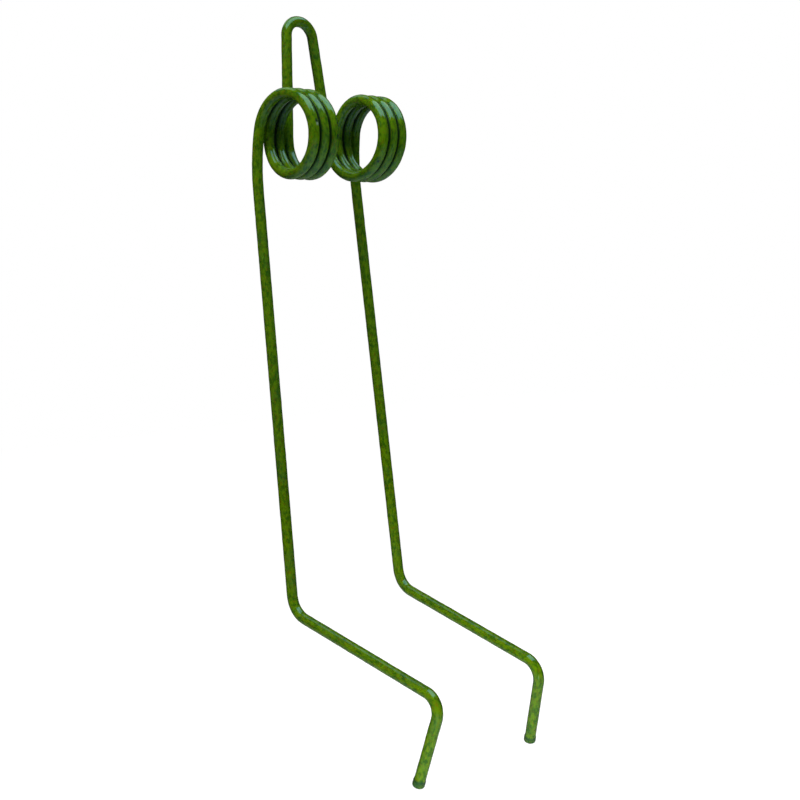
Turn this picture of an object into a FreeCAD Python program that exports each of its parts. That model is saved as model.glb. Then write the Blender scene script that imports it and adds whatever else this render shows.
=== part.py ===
# Double spring tine for a harrow, bent from one length of round spring steel wire.
#
# From one free end the wire is a toe that points into the soil, a jog, a long leg, and a coil that
# winds inwards. It then rises into a hairpin, whose closed top is the slot for the fixing bolt, and
# comes down the other side as the mirror image of all this.
#
# Frame, in millimetres: +Z is up and -Y is the way the toes reach. The hairpin stands in the XZ plane
# and the origin is the centre of its top bend, where the bolt sits. The tine is the same on both
# sides of the YZ plane. The left half, with negative x, is bent first and then mirrored.

import FreeCAD, Part
import Sketcher
import math
import os

Vector = FreeCAD.Vector

# Name, value and meaning. Lengths are in millimetres and angles in degrees.
# A leg's, jog's or toe's length runs between the corners that its bends round off.
DRIVING_SIZES = [
    ("wire_diameter", 8, "round spring steel wire"),
    ("slot_width", 17, "inside width of the hairpin's top bend, for the bolt"),
    ("hairpin_height", 78, "from the coils' axis up to the centre of the top bend"),
    ("hairpin_lead", 3, "straight rise from the coil before the hairpin leans inwards"),
    ("coil_gap", 31, "clear width between the two wires that leave the coils for the hairpin"),
    ("coil_bore", 48.4, "inside diameter of the coils"),
    ("turn_gap", 1.1, "clear gap between neighbouring turns"),
    ("coil_turns", 3, "full turns in each coil"),
    ("coil_entry_angle", 15, "how far round from the rear the coil begins"),
    ("root_bend_radius", 155, "wire centreline's gentle bend from the leg into the coil"),
    ("leg_length", 330.5, "from the coil's corner down to the knee"),
    ("leg_lean", 1, "the leg's forward lean from the vertical"),
    ("leg_splay", 1.1, "the leg's sideways lean away from the other leg"),
    ("knee_inside_radius", 13.5, "inside of the bend between the leg and the jog"),
    ("jog_length", 150.5, "from the knee to the corner above the toe"),
    ("jog_angle", 72, "the jog's forward slope from the vertical"),
    ("jog_toe_in", 1.4, "the jog's sideways slope towards the other jog"),
    ("toe_inside_radius", 9, "inside of the bend between the jog and the toe"),
    ("toe_length", 64.5, "from the jog's corner to the cut end"),
    ("toe_rake", 21, "the toe's backward slope from the vertical"),
    ("toe_splay", 6.1, "the toe's sideways slope away from the other toe"),
    ("toe_edge_radius", 0.8, "rounded edge of the cut end"),
]

NODE = "tine_wire"

# The wire's section is drawn as this many equal arcs, so its surface is as many long strips.
SECTION_ARCS = 3

# Points of a sketched arc and the sketch's own origin, as a sketch's constraints number them.
START, END, CENTRE = 1, 2, 3
SKETCH_ORIGIN = (-1, 1)


def make_sheet(doc):
    """Put the driving sizes in a spreadsheet, one row each, with an alias on each value."""
    sheet = doc.addObject("Spreadsheet::Sheet", "Sizes")
    for row, (name, value, meaning) in enumerate(DRIVING_SIZES, start=1):
        sheet.set("A%d" % row, name)
        sheet.set("B%d" % row, str(value))
        sheet.setAlias("B%d" % row, name)
        sheet.set("C%d" % row, meaning)
    doc.recompute()
    return sheet


def unit(vector):
    """The vector's direction, as a new vector of length one."""
    return vector * (1 / vector.Length)


def downward(lean, sideways):
    """Direction of a run that goes down, leaning forwards and to +X by two angles in degrees."""
    slope = math.tan(math.radians(sideways))
    return unit(Vector(slope, -math.sin(math.radians(lean)), -math.cos(math.radians(lean))))


def straight(start, end):
    """A straight piece of centreline."""
    return Part.LineSegment(start, end).toShape()


def setback(before, after, radius):
    """How far from its corner a bend begins, between two directions of travel."""
    return radius * math.tan(before.getAngle(after) / 2)


def bend(corner, before, after, radius):
    """The arc that rounds a corner between two directions of travel, tangent to both."""
    inwards = unit(after - before)
    to_centre = radius / math.cos(before.getAngle(after) / 2)
    start = corner - before * setback(before, after, radius)
    middle = corner + inwards * (to_centre - radius)
    end = corner + after * setback(before, after, radius)
    return Part.Arc(start, middle, end).toShape()


class LeftHalf:
    """Centreline of the left half of the wire, from the toe's cut end to the top of the hairpin."""

    def __init__(self, sizes):
        self.sizes = sizes
        self.wire_radius = sizes.wire_diameter / 2
        self.coil_radius = sizes.coil_bore / 2 + self.wire_radius
        self.pitch = sizes.wire_diameter + sizes.turn_gap
        self.coil_end = Vector(-(sizes.coil_gap / 2 + self.wire_radius), 0, -sizes.hairpin_height)
        self.knee_radius = sizes.knee_inside_radius + self.wire_radius
        self.toe_radius = sizes.toe_inside_radius + self.wire_radius
        self.top_radius = sizes.slot_width / 2 + self.wire_radius
        self.find_corners()

    def coil_start(self):
        """Point where the leg's root bend becomes the coil."""
        angle = math.radians(self.sizes.coil_entry_angle)
        along = self.pitch * self.turns()
        return self.coil_end + Vector(-along, self.coil_radius * (math.cos(angle) - 1),
                                      self.coil_radius * math.sin(angle))

    def turns(self):
        """Turns of the helix, counted from the end of the root bend."""
        return self.sizes.coil_turns - self.sizes.coil_entry_angle / 360

    def coil_direction(self, degrees):
        """The wire's direction of travel on the helix, at an angle round from the rear."""
        angle = math.radians(degrees)
        advance = self.pitch / (2 * math.pi)
        return unit(Vector(advance, -self.coil_radius * math.sin(angle), self.coil_radius * math.cos(angle)))

    def find_corners(self):
        """Place the corners of the wire's bends, outwards from the coil in both directions."""
        sizes = self.sizes
        self.into_coil = self.coil_direction(sizes.coil_entry_angle)
        self.down_leg = downward(sizes.leg_lean, -sizes.leg_splay)
        self.down_jog = downward(sizes.jog_angle, sizes.jog_toe_in)
        self.down_toe = downward(-sizes.toe_rake, -sizes.toe_splay)
        root_setback = setback(self.down_leg * -1, self.into_coil, sizes.root_bend_radius)
        self.root = self.coil_start() - self.into_coil * root_setback
        self.knee = self.root + self.down_leg * sizes.leg_length
        self.toe = self.knee + self.down_jog * sizes.jog_length
        self.cut_end = self.toe + self.down_toe * sizes.toe_length

        self.out_of_coil = self.coil_direction(0)
        self.shoulder = self.coil_end + self.out_of_coil * sizes.hairpin_lead
        half_spread = math.atan2(-self.shoulder.x, -self.shoulder.z)
        self.hairpin_lean = half_spread - math.asin(self.top_radius / self.shoulder.Length)
        self.up_hairpin = Vector(math.sin(self.hairpin_lean), 0, math.cos(self.hairpin_lean))

    def top_bend(self):
        """Left part of the hairpin's top bend, which ends on the plane of symmetry."""
        across = math.cos(self.hairpin_lean)
        up = math.sin(self.hairpin_lean)
        middle = (self.hairpin_lean + math.pi / 2) / 2
        return Part.Arc(Vector(-across, 0, up) * self.top_radius,
                        Vector(-math.cos(middle), 0, math.sin(middle)) * self.top_radius,
                        Vector(0, 0, self.top_radius)).toShape()

    def coil_placement(self):
        """Turn a helix that climbs +Z from +X until it lies along +X and begins at the coil's start."""
        angle = math.radians(self.sizes.coil_entry_angle)
        outwards = Vector(0, math.cos(angle), math.sin(angle))
        around = Vector(0, -math.sin(angle), math.cos(angle))
        axis_start = self.coil_start() - outwards * self.coil_radius
        return FreeCAD.Placement(axis_start, FreeCAD.Rotation(outwards, around, Vector(1, 0, 0), "ZXY"))

    def wire(self, coil_edges):
        """Join the straight runs, the bends and the helix into one smooth wire."""
        sizes = self.sizes
        toe_bend = bend(self.toe, self.down_toe * -1, self.down_jog * -1, self.toe_radius)
        knee_bend = bend(self.knee, self.down_jog * -1, self.down_leg * -1, self.knee_radius)
        root_bend = bend(self.root, self.down_leg * -1, self.into_coil, sizes.root_bend_radius)
        shoulder_turn = self.out_of_coil.getAngle(self.up_hairpin)
        shoulder_bend = bend(self.shoulder, self.out_of_coil, self.up_hairpin,
                             sizes.hairpin_lead / math.tan(shoulder_turn / 2))
        top_bend = self.top_bend()
        return Part.Wire([
            straight(self.cut_end, first_point(toe_bend)),
            toe_bend,
            straight(last_point(toe_bend), first_point(knee_bend)),
            knee_bend,
            straight(last_point(knee_bend), first_point(root_bend)),
            root_bend,
            *coil_edges,
            shoulder_bend,
            straight(last_point(shoulder_bend), first_point(top_bend)),
            top_bend,
        ])


def first_point(edge):
    """Where an edge begins."""
    return edge.valueAt(edge.FirstParameter)


def last_point(edge):
    """Where an edge ends."""
    return edge.valueAt(edge.LastParameter)


def make_coil_line(doc, half):
    """The coil's centreline, a helix whose sizes come from the sheet, as one edge for each turn."""
    helix = doc.addObject("Part::Helix", "CoilLine")
    helix.setExpression("Pitch", "Sizes.wire_diameter + Sizes.turn_gap")
    helix.setExpression("Radius", "(Sizes.coil_bore + Sizes.wire_diameter) / 2")
    helix.setExpression("Height", "(Sizes.wire_diameter + Sizes.turn_gap)"
                                  " * (Sizes.coil_turns - Sizes.coil_entry_angle / 360)")
    helix.SegmentLength = 1
    helix.Placement = half.coil_placement()
    doc.recompute()
    return helix


def make_section(doc, half):
    """Sketch the wire's round section, square to the toe at its cut end.

    The arcs share one radius and meet end to end. The first begins on the wire's rear side, which
    the coil turns outwards.
    """
    section = doc.addObject("Sketcher::SketchObject", "WireSection")
    circle = Part.Circle(Vector(0, 0, 0), Vector(0, 0, 1), half.wire_radius)
    sweep = 2 * math.pi / SECTION_ARCS
    for arc in range(SECTION_ARCS):
        section.addGeometry(Part.ArcOfCircle(circle, arc * sweep, (arc + 1) * sweep))
    radius = section.addConstraint(Sketcher.Constraint("Radius", 0, half.wire_radius))
    section.addConstraint(Sketcher.Constraint("Coincident", 0, CENTRE, *SKETCH_ORIGIN))
    for arc in range(1, SECTION_ARCS):
        section.addConstraint(Sketcher.Constraint("Coincident", arc, START, arc - 1, END))
        section.addConstraint(Sketcher.Constraint("Equal", arc, 0))
    section.addConstraint(Sketcher.Constraint("Coincident", SECTION_ARCS - 1, END, 0, START))
    section.setExpression("Constraints[%d]" % radius, "Sizes.wire_diameter / 2")

    along = half.down_toe * -1
    rear = unit(along.cross(Vector(1, 0, 0)))
    section.Placement = FreeCAD.Placement(half.cut_end,
                                          FreeCAD.Rotation(rear, along.cross(rear), along, "ZXY"))
    return section


def make_half(doc, sheet, half):
    """Sweep the section along the left half's centreline and round the edge of the cut end."""
    centreline = doc.addObject("Part::Feature", "Centreline")
    centreline.Shape = half.wire(make_coil_line(doc, half).Shape.Edges)

    sweep = doc.addObject("Part::Sweep", "LeftHalf")
    sweep.Sections = [make_section(doc, half)]
    sweep.Spine = (centreline, ["Edge%d" % (index + 1) for index in range(len(centreline.Shape.Edges))])
    sweep.Solid = True
    sweep.Frenet = False
    doc.recompute()

    rounded = doc.addObject("Part::Fillet", "LeftHalfRounded")
    rounded.Base = sweep
    rounded.Edges = [(index, sheet.toe_edge_radius, sheet.toe_edge_radius)
                     for index, edge in enumerate(sweep.Shape.Edges, start=1)
                     if is_cut_edge(edge, half.cut_end)]
    doc.recompute()
    return rounded


def is_cut_edge(edge, cut_end):
    """Whether an edge is part of the circle round the wire's cut end."""
    return edge.Curve.TypeId == "Part::GeomCircle" and edge.Curve.Center.isEqual(cut_end, 1e-3)


def make_tine(doc, left):
    """Mirror the left half and join the two at the top of the hairpin."""
    right = doc.addObject("Part::Mirroring", "RightHalf")
    right.Source = left
    right.Base = Vector(0, 0, 0)
    right.Normal = Vector(1, 0, 0)

    tine = doc.addObject("Part::Fuse", "Tine")
    tine.Base = left
    tine.Tool = right
    tine.Refine = True
    tine.Label = NODE
    doc.recompute()
    return tine


def check(doc, tine, half):
    """Stop if anything failed to build, or if the wire isn't one sound solid of the right volume."""
    for item in doc.Objects:
        if "Invalid" in item.State or "Error" in item.State:
            raise RuntimeError("%s failed: %s" % (item.Label, item.State))
    shape = tine.Shape
    if shape.isNull() or not shape.isValid() or len(shape.Solids) != 1:
        raise RuntimeError("%s isn't one valid solid" % tine.Label)
    length = 2 * doc.getObject("Centreline").Shape.Length
    section_area = math.pi * (half.sizes.wire_diameter / 2) ** 2
    print("wire length %.1f mm, volume %.0f mm3, section times length %.0f mm3"
          % (length, shape.Volume, section_area * length))


def main():
    """Build the tine and write it to parts/."""
    doc = FreeCAD.newDocument("HarrowTine")
    sheet = make_sheet(doc)
    half = LeftHalf(sheet)
    left = make_half(doc, sheet, half)
    tine = make_tine(doc, left)
    check(doc, tine, half)
    os.makedirs("parts", exist_ok=True)
    tine.Shape.exportStep("parts/%s.step" % NODE)


main()
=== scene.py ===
"""Looks of a double spring tine for a harrow: the painted wire, a plain studio and the camera.

The tine is one round wire. Its painted surface is a tube carried along the wire's centreline, from
the left toe over both coils and the hairpin to the right toe. Lengths are in metres and angles in
degrees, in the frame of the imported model: +Z is up, -Y is the way the toes reach, and the origin is
the centre of the hairpin's top bend.
"""

import logging
import math
from collections.abc import Mapping, Sequence
from dataclasses import dataclass
from enum import Enum
from functools import cached_property

import bpy
import numpy as np
import numpy.typing as npt
from mathutils import Matrix, Vector


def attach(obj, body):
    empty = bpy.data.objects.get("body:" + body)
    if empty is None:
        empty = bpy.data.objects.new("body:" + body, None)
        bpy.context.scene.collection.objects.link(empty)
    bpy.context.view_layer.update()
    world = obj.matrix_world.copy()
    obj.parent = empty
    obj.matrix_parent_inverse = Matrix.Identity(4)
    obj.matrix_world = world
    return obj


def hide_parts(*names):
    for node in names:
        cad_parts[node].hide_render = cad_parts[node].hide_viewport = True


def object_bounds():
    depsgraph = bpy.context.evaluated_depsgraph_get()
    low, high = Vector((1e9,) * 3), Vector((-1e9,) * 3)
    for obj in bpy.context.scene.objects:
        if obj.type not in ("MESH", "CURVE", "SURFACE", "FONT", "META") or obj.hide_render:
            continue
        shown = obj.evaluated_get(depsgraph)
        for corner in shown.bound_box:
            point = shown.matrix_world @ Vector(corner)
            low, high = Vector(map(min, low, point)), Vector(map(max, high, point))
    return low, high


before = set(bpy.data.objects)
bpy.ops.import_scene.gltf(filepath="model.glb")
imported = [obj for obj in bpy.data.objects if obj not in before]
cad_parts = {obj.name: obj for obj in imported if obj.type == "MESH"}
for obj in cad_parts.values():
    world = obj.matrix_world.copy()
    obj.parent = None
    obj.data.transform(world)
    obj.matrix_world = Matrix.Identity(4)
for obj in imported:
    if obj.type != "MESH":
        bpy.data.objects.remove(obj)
cad_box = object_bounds()

Floats = npt.NDArray[np.float64]
Colour = tuple[float, float, float]
Point = tuple[float, float, float]

CAD_NODE = "tine_wire"
BODY = "root"

# Names under which the mesh carries what its finish reads.
PLACE = "wire_place"
BEAD = "paint_bead"
# Mask of the gaps between the coil's turns, where the finish paints shade into the colour.
GAP_SHADE = "turn_gap"

X_AXIS = np.array([1.0, 0.0, 0.0])
Y_AXIS = np.array([0.0, 1.0, 0.0])
MIRROR = np.array([-1.0, 1.0, 1.0])

log = logging.getLogger("tine")


def unit(vectors: Floats) -> Floats:
    """The directions of one or many vectors, each scaled to length one."""
    return vectors / np.linalg.norm(vectors, axis=-1, keepdims=True)


def smooth_step(amount: Floats) -> Floats:
    """Ease from 0 to 1 as the amount goes from 0 to 1: 3 times its square less 2 times its cube."""
    held = np.clip(amount, 0.0, 1.0)
    return held * held * (3.0 - 2.0 * held)


def downward(lean: float, sideways: float) -> Floats:
    """Direction of a run that goes down.

    Args:
        lean: Forward lean from the vertical.
        sideways: Lean towards +X.

    Returns:
        The direction, (tan sideways, -sin lean, -cos lean) scaled to length one.
    """
    return unit(np.array([math.tan(math.radians(sideways)),
                          -math.sin(math.radians(lean)),
                          -math.cos(math.radians(lean))]))


def angle_between(first: Floats, second: Floats) -> float:
    """The angle between two directions, in radians."""
    return math.acos(float(np.clip(first @ second, -1.0, 1.0)))


@dataclass(frozen=True)
class Straight:
    """A straight run of centreline."""

    start: Floats
    end: Floats

    @property
    def length(self) -> float:
        """Length of the run."""
        return float(np.linalg.norm(self.end - self.start))

    def at(self, distances: Floats) -> tuple[Floats, Floats]:
        """Points and directions: the start plus the distance times the run's direction."""
        heading = unit(self.end - self.start)
        return self.start + distances[:, None] * heading, np.tile(heading, (len(distances), 1))


@dataclass(frozen=True)
class Bend:
    """An arc of centreline, from a start where the wire travels one way until it has turned."""

    start: Floats
    heading: Floats
    inwards: Floats
    radius: float
    turn: float

    @classmethod
    def round_corner(cls, corner: Floats, before: Floats, after: Floats, radius: float) -> "Bend":
        """Round a corner between two directions of travel.

        Args:
            corner: Where the two runs would meet.
            before: Direction of travel into the corner.
            after: Direction of travel out of it.
            radius: Radius of the centreline's arc.

        Returns:
            The arc. It starts short of the corner by the radius times the tangent of half the turn.
        """
        turn = angle_between(before, after)
        start = corner - before * radius * math.tan(turn / 2)
        return cls(start, before, unit(after - before * (before @ after)), radius, turn)

    @property
    def length(self) -> float:
        """Length of the arc, its radius times its turn."""
        return self.radius * self.turn

    @property
    def end(self) -> Floats:
        """Last point of the arc."""
        return self.at(np.array([self.length]))[0][0]

    def at(self, distances: Floats) -> tuple[Floats, Floats]:
        """Points and directions: radius times (sine along the heading, one less cosine inwards).

        Args:
            distances: Distances from the arc's start.

        Returns:
            The points there, and the directions of travel.
        """
        angle = (distances / self.radius)[:, None]
        points = self.start + self.radius * (np.sin(angle) * self.heading
                                             + (1.0 - np.cos(angle)) * self.inwards)
        return points, np.cos(angle) * self.heading + np.sin(angle) * self.inwards


@dataclass(frozen=True)
class Coil:
    """A helix of centreline round an axis along X, wound from an entry angle to its end."""

    end: Floats
    radius: float
    pitch: float
    entry: float
    turns: float

    @property
    def climb(self) -> float:
        """Wire length for each radian of turn."""
        return math.hypot(self.radius, self.pitch / (2 * math.pi))

    @property
    def length(self) -> float:
        """Length of wire in the coil."""
        return self.climb * (2 * math.pi * self.turns - self.entry)

    def at(self, distances: Floats) -> tuple[Floats, Floats]:
        """Points and directions on the helix.

        The wire turns in the YZ plane, from +Y towards +Z, by the distance over the climb. It
        advances along X by the pitch for each turn, and reaches the coil's end after whole turns.

        Args:
            distances: Distances from the coil's start.

        Returns:
            The points there, and the directions of travel.
        """
        angle = self.entry + distances / self.climb
        advance = self.pitch / (2 * math.pi)
        across = self.end[0] - advance * (2 * math.pi * self.turns - angle)
        points = np.stack([across,
                           self.end[1] + self.radius * (np.cos(angle) - 1.0),
                           self.end[2] + self.radius * np.sin(angle)], axis=1)
        headings = np.stack([np.full_like(angle, advance),
                             -self.radius * np.sin(angle),
                             self.radius * np.cos(angle)], axis=1)
        return points, unit(headings)


Run = Straight | Bend | Coil


@dataclass(frozen=True)
class TineForm:
    """Sizes of the bent wire, the same as in the construction model."""

    wire_diameter: float = 0.008
    slot_width: float = 0.017
    hairpin_height: float = 0.078
    hairpin_lead: float = 0.003
    coil_gap: float = 0.031
    coil_bore: float = 0.0484
    turn_gap: float = 0.0011
    coil_turns: float = 3.0
    coil_entry_angle: float = 15.0
    root_bend_radius: float = 0.155
    leg_length: float = 0.3305
    leg_lean: float = 1.0
    leg_splay: float = 1.1
    knee_inside_radius: float = 0.0135
    jog_length: float = 0.1505
    jog_angle: float = 72.0
    jog_toe_in: float = 1.4
    toe_inside_radius: float = 0.009
    toe_length: float = 0.0645
    toe_rake: float = 21.0
    toe_splay: float = 6.1

    @property
    def wire_radius(self) -> float:
        """Radius of the wire, paint included."""
        return self.wire_diameter / 2

    def left_half(self) -> list[Run]:
        """Work out the left half of the wire.

        Returns:
            Its runs, in travel order from the toe's end to the top of the hairpin.
        """
        wire_radius = self.wire_radius
        coil_end = np.array([-(self.coil_gap / 2 + wire_radius), 0.0, -self.hairpin_height])
        coil = Coil(coil_end, self.coil_bore / 2 + wire_radius, self.wire_diameter + self.turn_gap,
                    math.radians(self.coil_entry_angle), self.coil_turns)
        (coil_start,), (into_coil,) = coil.at(np.zeros(1))
        _, (out_of_coil,) = coil.at(np.array([coil.length]))

        up_leg = -downward(self.leg_lean, -self.leg_splay)
        up_jog = -downward(self.jog_angle, self.jog_toe_in)
        up_toe = -downward(-self.toe_rake, -self.toe_splay)
        setback = self.root_bend_radius * math.tan(angle_between(up_leg, into_coil) / 2)
        root = coil_start - into_coil * setback
        knee = root - up_leg * self.leg_length
        toe = knee - up_jog * self.jog_length
        toe_end = toe - up_toe * self.toe_length
        toe_bend = Bend.round_corner(toe, up_toe, up_jog, self.toe_inside_radius + wire_radius)
        knee_bend = Bend.round_corner(knee, up_jog, up_leg, self.knee_inside_radius + wire_radius)
        root_bend = Bend.round_corner(root, up_leg, into_coil, self.root_bend_radius)

        top_radius = self.slot_width / 2 + wire_radius
        shoulder = coil_end + out_of_coil * self.hairpin_lead
        lean = (math.atan2(-shoulder[0], -shoulder[2])
                - math.asin(top_radius / float(np.linalg.norm(shoulder))))
        up_hairpin = np.array([math.sin(lean), 0.0, math.cos(lean)])
        shoulder_radius = self.hairpin_lead / math.tan(angle_between(out_of_coil, up_hairpin) / 2)
        shoulder_bend = Bend.round_corner(shoulder, out_of_coil, up_hairpin, shoulder_radius)
        top_start = np.array([-math.cos(lean), 0.0, math.sin(lean)]) * top_radius
        top_bend = Bend(top_start, up_hairpin, unit(-top_start), top_radius, math.pi / 2 - lean)
        return [
            Straight(toe_end, toe_bend.start),
            toe_bend,
            Straight(toe_bend.end, knee_bend.start),
            knee_bend,
            Straight(knee_bend.end, root_bend.start),
            root_bend,
            coil,
            shoulder_bend,
            Straight(shoulder_bend.end, top_start),
            top_bend,
        ]


@dataclass(frozen=True)
class Rings:
    """Stations along a wire: how far along, where, and two axes across the wire at each."""

    along: Floats
    centres: Floats
    first_axes: Floats
    second_axes: Floats

    def mirrored_on(self) -> "Rings":
        """Go on to the other half of the wire.

        The last station lies on the YZ plane, so it isn't repeated. Distances go on from it: twice
        the half's length less the distance of the station that is mirrored.

        Returns:
            The same stations followed by their mirror image across that plane, in travel order.
        """
        back = slice(-2, None, -1)
        return Rings(
            np.concatenate([self.along, 2 * self.along[-1] - self.along[back]]),
            np.concatenate([self.centres, self.centres[back] * MIRROR]),
            np.concatenate([self.first_axes, self.first_axes[back] * MIRROR]),
            np.concatenate([self.second_axes, self.second_axes[back] * MIRROR]),
        )


@dataclass(frozen=True)
class Centreline:
    """The left half of the wire as one line, measured from the toe's end.

    Its runs are the straight runs, the bends and the coil, in travel order and end to end.
    """

    runs: Sequence[Run]

    @cached_property
    def starts(self) -> Floats:
        """Distances from the toe's end at which the runs start, with the half's length last."""
        return np.concatenate([[0.0], np.cumsum([run.length for run in self.runs])])

    @property
    def length(self) -> float:
        """Length of the half."""
        return float(self.starts[-1])

    def start_of(self, run: int) -> float:
        """Distance from the toe's end at which a run starts, counted from 0."""
        return float(self.starts[run])

    def at(self, along: Floats) -> tuple[Floats, Floats]:
        """Find places on the half, run by run.

        Args:
            along: Distances from the toe's end.

        Returns:
            The points there, and the directions of travel.
        """
        points, headings = np.empty((len(along), 3)), np.empty((len(along), 3))
        which = np.searchsorted(self.starts, along, side="right") - 1
        which = np.clip(which, 0, len(self.runs) - 1)
        for number, run in enumerate(self.runs):
            here = which == number
            points[here], headings[here] = run.at(along[here] - self.starts[number])
        return points, headings

    def rings(self, along: Floats) -> Rings:
        """Set up stations with two axes across the wire.

        The first axis is a guide direction with its part along the wire taken out. The guide is X
        up to the hairpin's straight, where it eases round to Y, because the wire runs along X at
        the top. The second axis is the heading crossed with the first.

        Args:
            along: Distances of the stations from the toe's end.

        Returns:
            The stations of the half.
        """
        points, headings = self.at(along)
        riser = len(self.runs) - 2
        ease = smooth_step((along - self.start_of(riser)) / self.runs[riser].length)
        swing = (ease * math.pi / 2)[:, None]
        guide = np.cos(swing) * X_AXIS + np.sin(swing) * Y_AXIS
        first = unit(guide - np.sum(guide * headings, axis=1, keepdims=True) * headings)
        return Rings(along, points, first, np.cross(headings, first))


@dataclass(frozen=True)
class PaintBead:
    """Paint that gathered at a toe's end while the wet tine hung."""

    length: float
    swell: float
    dome: float
    drip: float
    collar: float = 0.0009
    drip_width: float = 0.0011
    roundness: float = 2.3
    paler_middle: float = 0.5

    def radius(self, from_end: Floats, wire_radius: float) -> Floats:
        """Radius of the painted wire near its end.

        The bead adds its swell above a short collar. Over the dome's depth the radius closes like
        a rounded end: the root of one less the power of the depth that is left. The drip is a
        small point below the dome, half an ellipse of its own width and length.

        Args:
            from_end: Distances from the end.
            wire_radius: Radius of the painted wire away from the bead.

        Returns:
            The radius at each distance.
        """
        bare = wire_radius + self.swell * self.share(from_end)
        depth = np.clip(1.0 - (from_end - self.drip) / self.dome, 0.0, 1.0)
        domed = bare * (1.0 - depth ** self.roundness) ** (1.0 / self.roundness)
        if self.drip == 0.0:
            return domed
        left = np.clip(1.0 - from_end / (2.0 * self.drip), 0.0, 1.0)
        return np.maximum(domed, self.drip_width / 2 * np.sqrt(1.0 - left * left))

    def share(self, from_end: Floats) -> Floats:
        """How much of the bead there is: 1 near the end, easing to 0 across the collar."""
        return smooth_step((self.length + self.collar - from_end) / self.collar)

    def tone(self, from_end: Floats) -> Floats:
        """How dark the bead is: its share, less part of it half way along the bead."""
        hump = smooth_step(1.0 - np.abs(2.0 * from_end / self.length - 1.0))
        return self.share(from_end) * (1.0 - self.paler_middle * hump)


class ChipTone(Enum):
    """What shows where the paint is knocked off, with the name of its mask on the mesh."""

    BARE = "chip_bare"
    SCALE = "chip_scale"


@dataclass(frozen=True)
class PaintChip:
    """A small spot where the paint is knocked off, placed on the unrolled surface of the wire.

    Its place is the distance from the left toe's end and the angle round the wire from the rings'
    first axis. Its edge fades out, up to a little outside its length and width.
    """

    tone: ChipTone
    along: float
    around: float
    length: float
    width: float
    faded_at: float = 1.35
    fade: float = 0.7

    def mask(self, along: Floats, around: Floats, radius: float) -> Floats:
        """How much of the chip there is at each point: 1 inside, easing to 0 across its edge.

        It is an ellipse on the unrolled surface, on which the distance round the wire is the
        radius times the angle.

        Args:
            along: Distances of the points from the left toe's end.
            around: Their angles round the wire.
            radius: Radius of the wire.

        Returns:
            The chip's share at each point.
        """
        turned = np.angle(np.exp(1j * (around - math.radians(self.around)))) * radius
        reach = np.hypot((along - self.along) / self.length, turned / self.width) * 2
        return smooth_step((self.faded_at - reach) / self.fade)


@dataclass(frozen=True)
class PaintCoat:
    """Unevenness of the thick paint coat, in the wire's surface itself."""

    thickness_left_out: float = 0.00006
    ripple: float = 0.00003
    longest_ripple: float = 0.045
    shortest_ripple: float = 0.005
    waves: int = 26
    orders_round: int = 4
    chip_depth: float = 0.00022
    seed: int = 41

    def ripples(self, along: Floats, around: Floats) -> Floats:
        """Height of the paint's ripples.

        A sum of cosines. Each has its own wavelength along the wire, a whole number of waves round
        it, so that it closes, and its own phase.

        Args:
            along: Distances of the points from the left toe's end.
            around: Their angles round the wire.

        Returns:
            The height at each point, which is below 0 as often as above.
        """
        random = np.random.default_rng(self.seed)
        wavelengths = np.geomspace(self.longest_ripple, self.shortest_ripple, self.waves)
        orders = random.integers(-self.orders_round, self.orders_round + 1, self.waves)
        phases = random.uniform(0.0, 2 * math.pi, self.waves)
        angle = (2 * math.pi * along[..., None] / wavelengths + orders * around[..., None] + phases)
        return self.ripple * np.sqrt(2.0 / self.waves) * np.cos(angle).sum(axis=-1)


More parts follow.
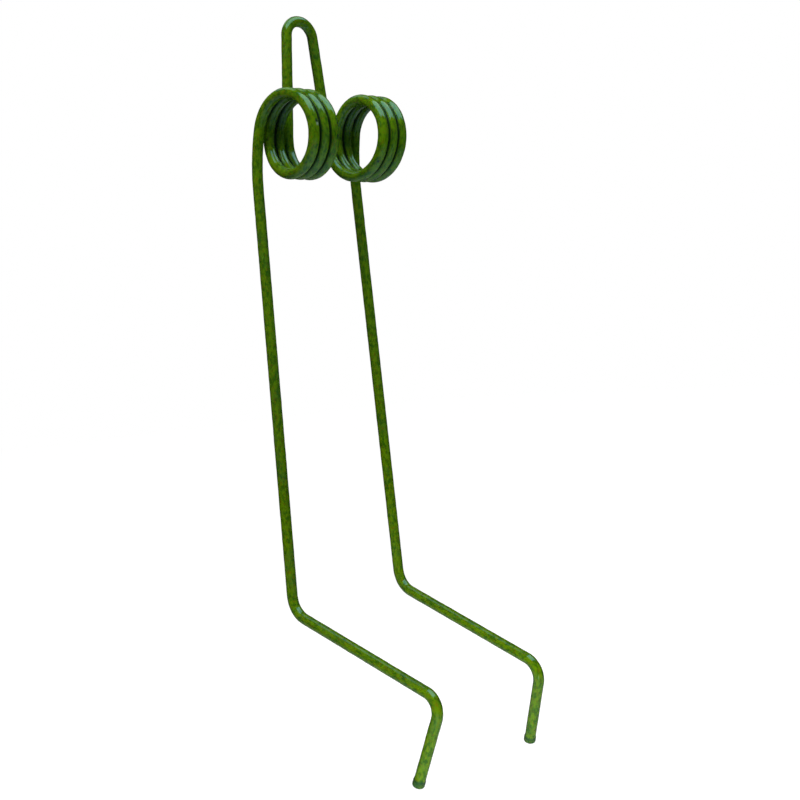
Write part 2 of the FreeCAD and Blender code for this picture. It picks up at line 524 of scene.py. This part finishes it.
@dataclass(frozen=True)
class PaintedWire:
    """The painted wire: its surface, the masks that its finish reads, and the finish."""

    form: TineForm
    finish: "GreenEnamel"
    name: str = "painted_wire"
    around_count: int = 48
    station_gap: float = 0.00155
    end_stations: int = 16
    left_bead: PaintBead = PaintBead(length=0.0062, swell=0.0004, dome=0.0026, drip=0.0006)
    right_bead: PaintBead = PaintBead(length=0.0052, swell=0.0004, dome=0.0019, drip=0.0)
    gap_fade: float = 0.012
    gap_opens: float = 0.80
    gap_closes: float = 0.95
    map_edge: float = 0.25
    coat: PaintCoat = PaintCoat()
    chips: tuple[PaintChip, ...] = (
        PaintChip(ChipTone.SCALE, along=0.6355, around=84.0, length=0.0016, width=0.0030),
        PaintChip(ChipTone.BARE, along=0.6372, around=80.0, length=0.0022, width=0.0022),
        PaintChip(ChipTone.BARE, along=0.8440, around=60.0, length=0.0020, width=0.0012),
        PaintChip(ChipTone.SCALE, along=0.9905, around=68.0, length=0.0022, width=0.0014),
        PaintChip(ChipTone.SCALE, along=0.9995, around=80.0, length=0.0022, width=0.0016),
        PaintChip(ChipTone.SCALE, along=1.3465, around=60.0, length=0.0018, width=0.0018),
    )

    @cached_property
    def centreline(self) -> Centreline:
        """The left half of the wire's centreline."""
        return Centreline(self.form.left_half())

    def stations(self) -> Floats:
        """Choose the stations on the left half.

        They crowd towards the toe's end, as one less the cosine of even steps, and are even from
        there to the top of the hairpin.

        Returns:
            Their distances from the toe's end.
        """
        tip = self.left_bead.drip + self.left_bead.dome
        crowded = tip * (1.0 - np.cos(np.linspace(0.0, math.pi / 2, self.end_stations)))
        rest = self.centreline.length - tip
        even = tip + np.linspace(0.0, rest, round(rest / self.station_gap) + 1)
        return np.concatenate([crowded[1:], even[1:]])

    def radii(self, rings: Rings, around: Floats) -> Floats:
        """Work out the surface's distance from the centreline.

        It is the wire's radius, less a little so that the ripples stay within it, with the bead at
        each end, the ripples and the chips.

        Args:
            rings: The stations, down the result.
            around: The angles round the wire, across the result.

        Returns:
            The radius at each station and angle.
        """
        total = 2 * self.centreline.length
        from_left, from_right = rings.along, total - rings.along
        radius = self.form.wire_radius - self.coat.thickness_left_out
        shaped = np.where(from_left < from_right,
                          self.left_bead.radius(from_left, radius),
                          self.right_bead.radius(from_right, radius))[:, None]
        faded = smooth_step(np.minimum(from_left, from_right) / self.left_bead.length)[:, None]
        along, angles = np.broadcast_arrays(rings.along[:, None], around)
        height = faded * self.coat.ripples(along, angles)
        for chip in self.chips:
            height = height - self.coat.chip_depth * chip.mask(along, angles, radius)
        return shaped + height

    def between_turns(self, along: Floats, around: Floats) -> Floats:
        """How deep each point lies in a gap between two turns of a coil, from 0 to 1; the finish
        paints shade there.

        A point faces the turn before its own where the cosine of its angle nears -1, and the turn
        after it where the cosine nears 1. The first and the last turn have one neighbour each.

        Args:
            along: Distances of the points from the left toe's end.
            around: Their angles round the wire.

        Returns:
            The depth at each point.
        """
        runs = self.centreline.runs
        number = next(index for index, run in enumerate(runs) if isinstance(run, Coil))
        turn = 2 * math.pi * runs[number].climb
        start, end = self.centreline.start_of(number), self.centreline.start_of(number + 1)
        place = np.minimum(along, 2 * self.centreline.length - along)

        def within(first: float, last: float) -> Floats:
            """1 between two distances, easing to 0 at both."""
            return smooth_step(np.minimum(place - first, last - place) / self.gap_fade)

        def facing(cosine: Floats) -> Floats:
            """1 where the cosine is near 1, easing to 0 where the gap opens."""
            return smooth_step((cosine - self.gap_opens) / (self.gap_closes - self.gap_opens))

        return np.maximum(within(start + turn, end) * facing(-np.cos(around)),
                          within(start, end - turn) * facing(np.cos(around)))

    def mesh(self) -> bpy.types.Mesh:
        """Build the closed surface with its masks.

        Each point is its station's centre plus the radius times (cosine of the angle along the
        first axis, sine along the second). Quads join the stations and a fan closes each end. A
        bead's few points past the construction model's box are held at the box.

        Returns:
            The mesh, with its place in it.
        """
        rings = self.centreline.rings(self.stations()).mirrored_on()
        around = np.linspace(0.0, 2 * math.pi, self.around_count, endpoint=False)[None, :]
        radii = self.radii(rings, around)
        spokes = (np.cos(around)[..., None] * rings.first_axes[:, None]
                  + np.sin(around)[..., None] * rings.second_axes[:, None])
        surface = rings.centres[:, None] + radii[..., None] * spokes
        start, _ = self.centreline.at(np.zeros(1))
        points = np.concatenate([surface.reshape(-1, 3), start, start * MIRROR])
        points = np.clip(points, *np.array(cad_box, dtype=np.float64))

        count, size = len(rings.along), self.around_count
        station, place = np.meshgrid(np.arange(count - 1), np.arange(size), indexing="ij")
        following = (place + 1) % size
        quads = np.stack([station * size + place, station * size + following,
                          (station + 1) * size + following, (station + 1) * size + place], axis=-1)
        spot = np.arange(size)
        ahead = (spot + 1) % size
        last = (count - 1) * size
        first_fan = np.stack([np.full(size, count * size), ahead, spot], axis=-1)
        last_fan = np.stack([np.full(size, count * size + 1), last + spot, last + ahead], axis=-1)
        faces = quads.reshape(-1, 4).tolist() + first_fan.tolist() + last_fan.tolist()

        mesh = bpy.data.meshes.new(self.name)
        mesh.from_pydata(points.tolist(), [], faces)
        mesh.shade_smooth()
        self.add_masks(mesh, rings, around)
        self.add_unrolled_map(mesh, rings)
        mesh.validate()
        return mesh

    def add_masks(self, mesh: bpy.types.Mesh, rings: Rings, around: Floats) -> None:
        """Store what the finish reads at each point: its place on the unrolled wire, and masks.

        Args:
            mesh: The surface, whose last two points are the ends.
            rings: Its stations.
            around: Its angles round the wire.
        """
        radius = self.form.wire_radius
        total = 2 * self.centreline.length
        along, angles = np.broadcast_arrays(rings.along[:, None], around)
        place = np.stack([along, radius * np.cos(angles), radius * np.sin(angles)], axis=-1)
        ends = np.array([[0.0, 0.0, 0.0], [total, 0.0, 0.0]])
        places = np.concatenate([place.reshape(-1, 3), ends]).astype(np.float32)
        mesh.attributes.new(PLACE, "FLOAT_VECTOR", "POINT").data.foreach_set(
            "vector", places.ravel())

        bead = np.maximum(self.left_bead.tone(along), self.right_bead.tone(total - along))
        # The turn gap mask carries the painted shade between the coil's turns.
        masks = {BEAD: (bead, 1.0), GAP_SHADE: (self.between_turns(along, angles), 0.0)}
        for tone in ChipTone:
            shares = [chip.mask(along, angles, radius) for chip in self.chips if chip.tone is tone]
            masks[tone.value] = (np.max([np.zeros_like(along), *shares], axis=0), 0.0)
        for name, (share, at_ends) in masks.items():
            values = np.concatenate([share.ravel(), [at_ends, at_ends]]).astype(np.float32)
            mesh.attributes.new(name, "FLOAT", "POINT").data.foreach_set("value", values)

    def add_unrolled_map(self, mesh: bpy.types.Mesh, rings: Rings) -> None:
        """Lay the surface out flat, for anyone who puts another finish on the tine.

        Across goes the share of a turn, and up the share of the length. Where a face wraps round
        to the first angle, its corners there count as a whole turn.

        Args:
            mesh: The surface, whose last two points are the ends.
            rings: Its stations.
        """
        count, size = len(rings.along), self.around_count
        corner_points = np.empty(len(mesh.loops), dtype=np.int32)
        mesh.loops.foreach_get("vertex_index", corner_points)
        station = np.minimum(corner_points // size, count - 1)
        station[corner_points == count * size] = 0
        spot = corner_points % size
        across = spot / size
        corner_counts = np.empty(len(mesh.polygons), dtype=np.int32)
        mesh.polygons.foreach_get("loop_total", corner_counts)
        face_of = np.repeat(np.arange(len(mesh.polygons)), corner_counts)
        widest = np.zeros(len(mesh.polygons))
        np.maximum.at(widest, face_of, across)
        wraps = (widest[face_of] > 1.0 - self.map_edge) & (across < self.map_edge)
        across = across + wraps
        up = rings.along[station] / (2 * self.centreline.length)
        layer = mesh.uv_layers.new(name="unrolled")
        layer.data.foreach_set("uv", np.stack([across, up], axis=-1).astype(np.float32).ravel())

    def build(self) -> bpy.types.Object:
        """Make the piece.

        Returns:
            The painted wire, which rides on the root body and stands for the wire's solid.
        """
        piece = bpy.data.objects.new(self.name, self.mesh())
        bpy.context.scene.collection.objects.link(piece)
        piece.data.materials.append(self.finish.material())
        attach(piece, BODY)
        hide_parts(CAD_NODE)
        return piece


@dataclass(frozen=True)
class Pattern:
    """A noise pattern in the paint, whose largest features have about its size.

    It starts to show where the noise passes the low number and shows fully at the high one, with
    its share of the colour.
    """

    size: float
    detail: float
    rough: float
    low: float = 0.0
    high: float = 1.0
    share: float = 1.0


@dataclass(frozen=True)
class Value:
    """A number that varies over a surface, as the output socket of a node."""

    graph: "Graph"
    socket: bpy.types.NodeSocket

    def math(self, operation: str, first: object, second: object) -> "Value":
        """A Math node on two numbers, of which either may vary."""
        return self.graph.value("ShaderNodeMath", {"operation": operation}, {0: first, 1: second})

    def __add__(self, other: object) -> "Value":
        """This plus the other."""
        return self.math("ADD", self, other)

    __radd__ = __add__

    def __sub__(self, other: object) -> "Value":
        """This less the other."""
        return self.math("SUBTRACT", self, other)

    def __rsub__(self, other: object) -> "Value":
        """The other less this."""
        return self.math("SUBTRACT", other, self)

    def __mul__(self, other: object) -> "Value":
        """This times the other."""
        return self.math("MULTIPLY", self, other)

    __rmul__ = __mul__

    def largest(self, other: object) -> "Value":
        """The larger of this and the other."""
        return self.math("MAXIMUM", self, other)

    def between(self, low: float, high: float) -> "Value":
        """Ease from 0 where this is at the low number to 1 where it is at the high one."""
        settings = {"interpolation_type": "SMOOTHSTEP"}
        sockets = {"Value": self, "From Min": low, "From Max": high}
        return self.graph.value("ShaderNodeMapRange", settings, sockets, output="Result")


class Graph:
    """A node tree that is built from scratch."""

    def __init__(self, tree: bpy.types.NodeTree) -> None:
        """Start with an empty tree.

        Args:
            tree: The tree of a material or of the world.
        """
        self.tree = tree
        self.tree.nodes.clear()

    def node(self, kind: str, settings: Mapping[str, object] | None = None,
             sockets: Mapping[str | int, object] | None = None) -> bpy.types.Node:
        """Add a node.

        Args:
            kind: The node's type.
            settings: Its settings, which are set first.
            sockets: Values or links of its input sockets, by name or number.

        Returns:
            The node.
        """
        made = self.tree.nodes.new(kind)
        for name, setting in (settings or {}).items():
            setattr(made, name, setting)
        for name, fed in (sockets or {}).items():
            target = made.inputs[name] if isinstance(name, int) else self.shown(made.inputs, name)
            if isinstance(fed, Value):
                self.tree.links.new(fed.socket, target)
            elif isinstance(fed, bpy.types.NodeSocket):
                self.tree.links.new(fed, target)
            else:
                target.default_value = fed
        return made

    @staticmethod
    def shown(sockets: bpy.types.bpy_prop_collection, name: str) -> bpy.types.NodeSocket:
        """The socket of that name that the node's settings leave in use."""
        return next(socket for socket in sockets if socket.name == name and socket.enabled)

    def value(self, kind: str, settings: Mapping[str, object] | None = None,
              sockets: Mapping[str | int, object] | None = None, output: str = "Value") -> Value:
        """Add a node and take one of its outputs as a number."""
        return Value(self, self.shown(self.node(kind, settings, sockets).outputs, output))

    def attribute(self, name: str) -> Value:
        """A mask that the mesh carries."""
        return self.value("ShaderNodeAttribute", {"attribute_name": name}, output="Fac")

    def noise(self, place: bpy.types.NodeSocket, pattern: Pattern) -> Value:
        """A pattern's noise, from 0 to 1 with its middle at a half."""
        sockets = {"Vector": place, "Scale": 1.0 / pattern.size, "Detail": pattern.detail,
                   "Roughness": pattern.rough}
        return self.value("ShaderNodeTexNoise", None, sockets, output="Fac")

    def patches(self, place: bpy.types.NodeSocket, pattern: Pattern) -> Value:
        """How much of a pattern shows: its noise eased from low to high, times its share."""
        return self.noise(place, pattern).between(pattern.low, pattern.high) * pattern.share

    def stretched(self, place: bpy.types.NodeSocket, along: float) -> bpy.types.NodeSocket:
        """A place whose pattern is drawn out along the wire by that factor."""
        scaled = self.node("ShaderNodeVectorMath", {"operation": "MULTIPLY"},
                           {0: place, 1: (1.0 / along, 1.0, 1.0)})
        return scaled.outputs["Vector"]

    def mixed(self, share: object, first: object, second: object) -> bpy.types.NodeSocket:
        """A colour between two, from the first at a share of 0 to the second at 1."""
        made = self.node("ShaderNodeMix", {"data_type": "RGBA"},
                         {"Factor": share, "A": first, "B": second})
        return self.shown(made.outputs, "Result")


def solid(colour: Colour) -> tuple[float, float, float, float]:
    """A colour with full opacity."""
    return (*colour, 1.0)


@dataclass(frozen=True)
class GreenEnamel:
    """Thick green gloss enamel with uneven colour, small chips, and painted shade between the turns.
    """

    leaf: Colour = (0.128, 0.268, 0.0010)
    deep: Colour = (0.040, 0.135, 0.0015)
    brown: Colour = (0.190, 0.125, 0.003)
    blue_green: Colour = (0.030, 0.120, 0.030)
    bead: Colour = (0.010, 0.050, 0.022)
    # Painted shade: near-black green put into the colour in the gaps between the coil's turns, where
    # shade falls.
    gap_painted_shade: Colour = (0.006, 0.016, 0.005)
    bare_steel: Colour = (0.42, 0.50, 0.40)
    dark_scale: Colour = (0.010, 0.018, 0.030)
    mottle: Pattern = Pattern(size=0.0023, detail=3.0, rough=0.6, low=0.34, high=0.60)
    casts: Pattern = Pattern(size=0.009, detail=2.0, rough=0.5, low=0.54, high=0.68, share=0.25)
    flecks: Pattern = Pattern(size=0.0012, detail=2.0, rough=0.6, low=0.55, high=0.67, share=0.55)
    wear: Pattern = Pattern(size=0.00506, detail=2.0, rough=0.5)
    orange_peel: Pattern = Pattern(size=0.0016, detail=2.0, rough=0.5)
    drawn_out: float = 1.7
    bead_share: float = 0.85
    gap_share: float = 0.92
    gap_roughness: float = 0.5
    gloss_roughness: float = 0.11
    roughness_spread: float = 0.14
    specular_level: float = 1.0
    specular_tint: Colour = (0.35, 0.85, 1.0)
    coat_weight: float = 0.25
    coat_roughness: float = 0.05
    orange_peel_height: float = 0.00003

    def material(self) -> bpy.types.Material:
        """Build the paint's material.

        The colour goes from deep to leaf green with the mottle, with bluish casts and brown flecks
        over it, then the beads' tone, painted shade in the gaps between the turns, and the chips. The
        wear raises and lowers the roughness by half its spread.

        Returns:
            The material, whose patterns follow the wire's unrolled surface.
        """
        made = bpy.data.materials.new("green_enamel")
        made.use_nodes = True
        graph = Graph(made.node_tree)
        place = graph.node("ShaderNodeAttribute", {"attribute_name": PLACE}).outputs["Vector"]
        streaks = graph.stretched(place, self.drawn_out)

        mottle = graph.patches(streaks, self.mottle)
        colour = graph.mixed(mottle, solid(self.deep), solid(self.leaf))
        colour = graph.mixed(graph.patches(streaks, self.casts), colour, solid(self.blue_green))
        colour = graph.mixed(graph.patches(streaks, self.flecks), colour, solid(self.brown))
        colour = graph.mixed(graph.attribute(BEAD) * self.bead_share, colour, solid(self.bead))
        # Painted shade: the gap mask darkens the colour between the coil's turns, where shade falls.
        # It also roughens the paint and takes the coat off there.
        gap = graph.attribute(GAP_SHADE)
        colour = graph.mixed(gap * self.gap_share, colour, solid(self.gap_painted_shade))
        bare = graph.attribute(ChipTone.BARE.value)
        scale = graph.attribute(ChipTone.SCALE.value)
        colour = graph.mixed(bare, colour, solid(self.bare_steel))
        colour = graph.mixed(scale, colour, solid(self.dark_scale))

        wear = (graph.noise(streaks, self.wear) - 0.5) * self.roughness_spread
        roughness = self.gloss_roughness + wear + gap * self.gap_roughness
        bump = graph.node("ShaderNodeBump", None, {
            "Height": graph.noise(place, self.orange_peel), "Strength": 1.0,
            "Distance": self.orange_peel_height})
        shader = graph.node("ShaderNodeBsdfPrincipled", None, {
            "Base Color": colour, "Roughness": roughness, "Normal": bump.outputs["Normal"],
            "Coat Weight": (1.0 - bare) * (1.0 - scale) * (1.0 - gap) * self.coat_weight,
            "Coat Roughness": self.coat_roughness, "Specular IOR Level": self.specular_level,
            "Specular Tint": solid(self.specular_tint)})
        graph.node("ShaderNodeOutputMaterial", None, {"Surface": shader.outputs["BSDF"]})
        return made


@dataclass(frozen=True)
class SoftLamp:
    """A flat soft light that points at a spot, level along its length.

    A lamp that isn't glossy lights the paint and leaves no highlight in it.
    """

    name: str
    azimuth: float
    elevation: float
    distance: float
    length: float
    width: float
    power: float
    aim: Point = (0.0, -0.05, -0.25)
    spread: float = 180.0
    glossy: bool = True
    colour: Colour = (1.0, 1.0, 0.96)

    def build(self) -> bpy.types.Object:
        """Hang the lamp.

        Returns:
            The lamp. An azimuth of 0 puts it on the -Y side, and 90 on the +X side.
        """
        turn, rise = math.radians(self.azimuth), math.radians(self.elevation)
        away = Vector((math.sin(turn) * math.cos(rise), -math.cos(turn) * math.cos(rise),
                       math.sin(rise)))
        light = bpy.data.lights.new(self.name, "AREA")
        light.shape = "RECTANGLE"
        light.size = self.length
        light.size_y = self.width
        light.energy = self.power
        light.color = self.colour
        light.spread = math.radians(self.spread)
        lamp = bpy.data.objects.new(self.name, light)
        lamp.visible_camera = False
        lamp.visible_glossy = self.glossy
        lamp.location = Vector(self.aim) + away * self.distance
        lamp.rotation_mode = "QUATERNION"
        lamp.rotation_quaternion = away.to_track_quat("Z", "Y")
        bpy.context.scene.collection.objects.link(lamp)
        return lamp


@dataclass(frozen=True)
class Studio:
    """A plain pale floor, soft lamps and an even surround that looks white to the camera.

    Only the overhead lamp and the back lamp leave highlights in the paint. Two small lamps low in
    front lift the coils' undersides and the toes.
    """

    floor_height: float = -0.75
    floor_side: float = 16.0
    floor_colour: Colour = (0.26, 0.26, 0.26)
    glow_near: float = 0.80
    glow_starts: float = 0.15
    glow_ends: float = 0.9
    floor_gloss: float = 0.11
    surround_gloss: float = 0.015
    surround_colour: Colour = (0.008, 0.009, 0.009)
    lamps: tuple[SoftLamp, ...] = (
        SoftLamp("left_lamp", azimuth=-88.0, elevation=55.0, distance=1.6, length=0.6, width=1.5,
                 power=16.5, colour=(1.0, 0.97, 0.90), glossy=False),
        SoftLamp("overhead_lamp", azimuth=0.0, elevation=72.0, distance=1.05, length=1.8,
                 width=0.85, power=7.6, aim=(0.2, -0.05, -0.1), colour=(0.80, 1.0, 1.0)),
        SoftLamp("rear_lamp", azimuth=135.0, elevation=20.0, distance=1.6, length=0.9, width=0.9,
                 power=13.0, glossy=False),
        SoftLamp("back_lamp", azimuth=180.0, elevation=60.0, distance=1.6, length=0.9, width=0.9,
                 power=1.4, colour=(0.80, 1.0, 1.0)),
        SoftLamp("coil_lamp", azimuth=-5.0, elevation=-35.0, distance=0.6, length=0.3, width=0.3,
                 power=0.17, spread=60.0, aim=(0.0, -0.05, -0.09), glossy=False,
                 colour=(0.8, 1.0, 0.9)),
        SoftLamp("toe_lamp", azimuth=-40.0, elevation=-16.0, distance=0.38, length=0.3, width=0.2,
                 power=0.26, spread=48.0, aim=(0.0, -0.12, -0.54), glossy=False,
                 colour=(1.0, 0.95, 0.9)),
    )

    def background_rays(self, graph: Graph, in_gloss: object) -> Value:
        """How white the background is to each ray.

        It is white to the camera and through glass, and a share of that in gloss, so that the
        enamel keeps its depth.

        Args:
            graph: The tree that gets the nodes.
            in_gloss: The share in gloss, a number or a value that varies.

        Returns:
            The whiteness, from 0 to 1.
        """
        path = graph.node("ShaderNodeLightPath").outputs
        camera = Value(graph, path["Is Camera Ray"])
        glass = Value(graph, path["Is Transmission Ray"])
        gloss = Value(graph, path["Is Glossy Ray"]) * in_gloss
        return camera.largest(glass).largest(gloss)

    def floor(self) -> bpy.types.Object:
        """A large flat square, white to the camera except for the tine's soft shadow on it.

        The lamps light it most near the tine, so its glow grows from there to the full white. Its
        share in gloss fades out over the same distance.

        Returns:
            The floor, marked as part of the stage.
        """
        half = self.floor_side / 2
        corners = [(-half, -half, self.floor_height), (half, -half, self.floor_height),
                   (half, half, self.floor_height), (-half, half, self.floor_height)]
        mesh = bpy.data.meshes.new("floor")
        mesh.from_pydata(corners, [], [(0, 1, 2, 3)])
        material = bpy.data.materials.new("pale_floor")
        material.use_nodes = True
        graph = Graph(material.node_tree)
        matte = graph.node("ShaderNodeBsdfDiffuse", None, {"Color": solid(self.floor_colour)})
        place = graph.node("ShaderNodeTexCoord").outputs["Object"]
        level = graph.node("ShaderNodeVectorMath", {"operation": "MULTIPLY"},
                           {0: place, 1: (1.0, 1.0, 0.0)}).outputs["Vector"]
        reach = graph.value("ShaderNodeVectorMath", {"operation": "LENGTH"}, {0: level})
        far = reach.between(self.glow_starts, self.glow_ends)
        glow = self.glow_near + far * (1.0 - self.glow_near)
        in_gloss = (1.0 - far) * self.floor_gloss
        white = graph.mixed(self.background_rays(graph, in_gloss) * glow, solid((0.0, 0.0, 0.0)),
                            solid((1.0, 1.0, 1.0)))
        light = graph.node("ShaderNodeEmission", None, {"Color": white, "Strength": 1.0})
        both = graph.node("ShaderNodeAddShader", None, {
            0: matte.outputs["BSDF"], 1: light.outputs["Emission"]})
        graph.node("ShaderNodeOutputMaterial", None, {"Surface": both.outputs["Shader"]})
        mesh.materials.append(material)
        floor = bpy.data.objects.new("floor", mesh)
        bpy.context.scene.collection.objects.link(floor)
        return floor

    def surround(self) -> None:
        """Light the tine a little from all sides, and show white behind it."""
        world = bpy.data.worlds.new("surround")
        world.use_nodes = True
        graph = Graph(world.node_tree)
        even = graph.node("ShaderNodeBackground", None, {"Color": solid(self.surround_colour)})
        white = graph.node("ShaderNodeBackground", None, {"Color": solid((1.0, 1.0, 1.0))})
        both = graph.node("ShaderNodeMixShader", None, {
            0: self.background_rays(graph, self.surround_gloss), 1: even.outputs["Background"],
            2: white.outputs["Background"]})
        graph.node("ShaderNodeOutputWorld", None, {"Surface": both.outputs["Shader"]})
        bpy.context.scene.world = world

    def build(self) -> None:
        """Set up the floor, the surround and the lamps."""
        self.floor()
        self.surround()
        for lamp in self.lamps:
            lamp.build()


@dataclass(frozen=True)
class PhotoCamera:
    """The photograph's camera, fitted to the tine's outline in it."""

    place: Point = (-0.62725, -0.73773, -0.23632)
    azimuth: float = -43.4525
    elevation: float = 2.3216
    roll: float = -4.8125
    focal_pixels: float = 1280.81
    photo_width_pixels: float = 800.0
    sensor_width: float = 36.0

    def build(self) -> bpy.types.Object:
        """Place the camera.

        An azimuth of 0 looks along +Y, the elevation is above the horizon, and the roll turns the
        camera's right side up.

        Returns:
            The scene's camera.
        """
        turn, rise = math.radians(self.azimuth), math.radians(self.elevation)
        back = Vector((math.sin(turn) * math.cos(rise), -math.cos(turn) * math.cos(rise),
                       math.sin(rise)))
        level = Vector((0.0, 0.0, 1.0)).cross(back).normalized()
        upright = back.cross(level)
        lean = math.radians(self.roll)
        right = level * math.cos(lean) + upright * math.sin(lean)
        up = upright * math.cos(lean) - level * math.sin(lean)
        lens = bpy.data.cameras.new("photo_camera")
        lens.sensor_width = self.sensor_width
        lens.lens = self.focal_pixels / self.photo_width_pixels * self.sensor_width
        camera = bpy.data.objects.new("photo_camera", lens)
        axes = Matrix((right, up, back)).transposed().to_4x4()
        camera.matrix_world = Matrix.Translation(self.place) @ axes
        bpy.context.scene.collection.objects.link(camera)
        bpy.context.scene.camera = camera
        return camera


def main() -> None:
    """Build the camera, the studio and the painted wire, and report each."""
    logging.basicConfig(level=logging.INFO, format="%(name)s: %(message)s")
    bpy.context.scene.view_settings.view_transform = "Standard"
    PhotoCamera().build()
    Studio().build()
    log.info("studio and camera are set up")
    wire = PaintedWire(TineForm(), GreenEnamel()).build()
    log.info("%s has %d points and %d faces", wire.name, len(wire.data.vertices),
             len(wire.data.polygons))


if __name__ == "__main__":
    main()
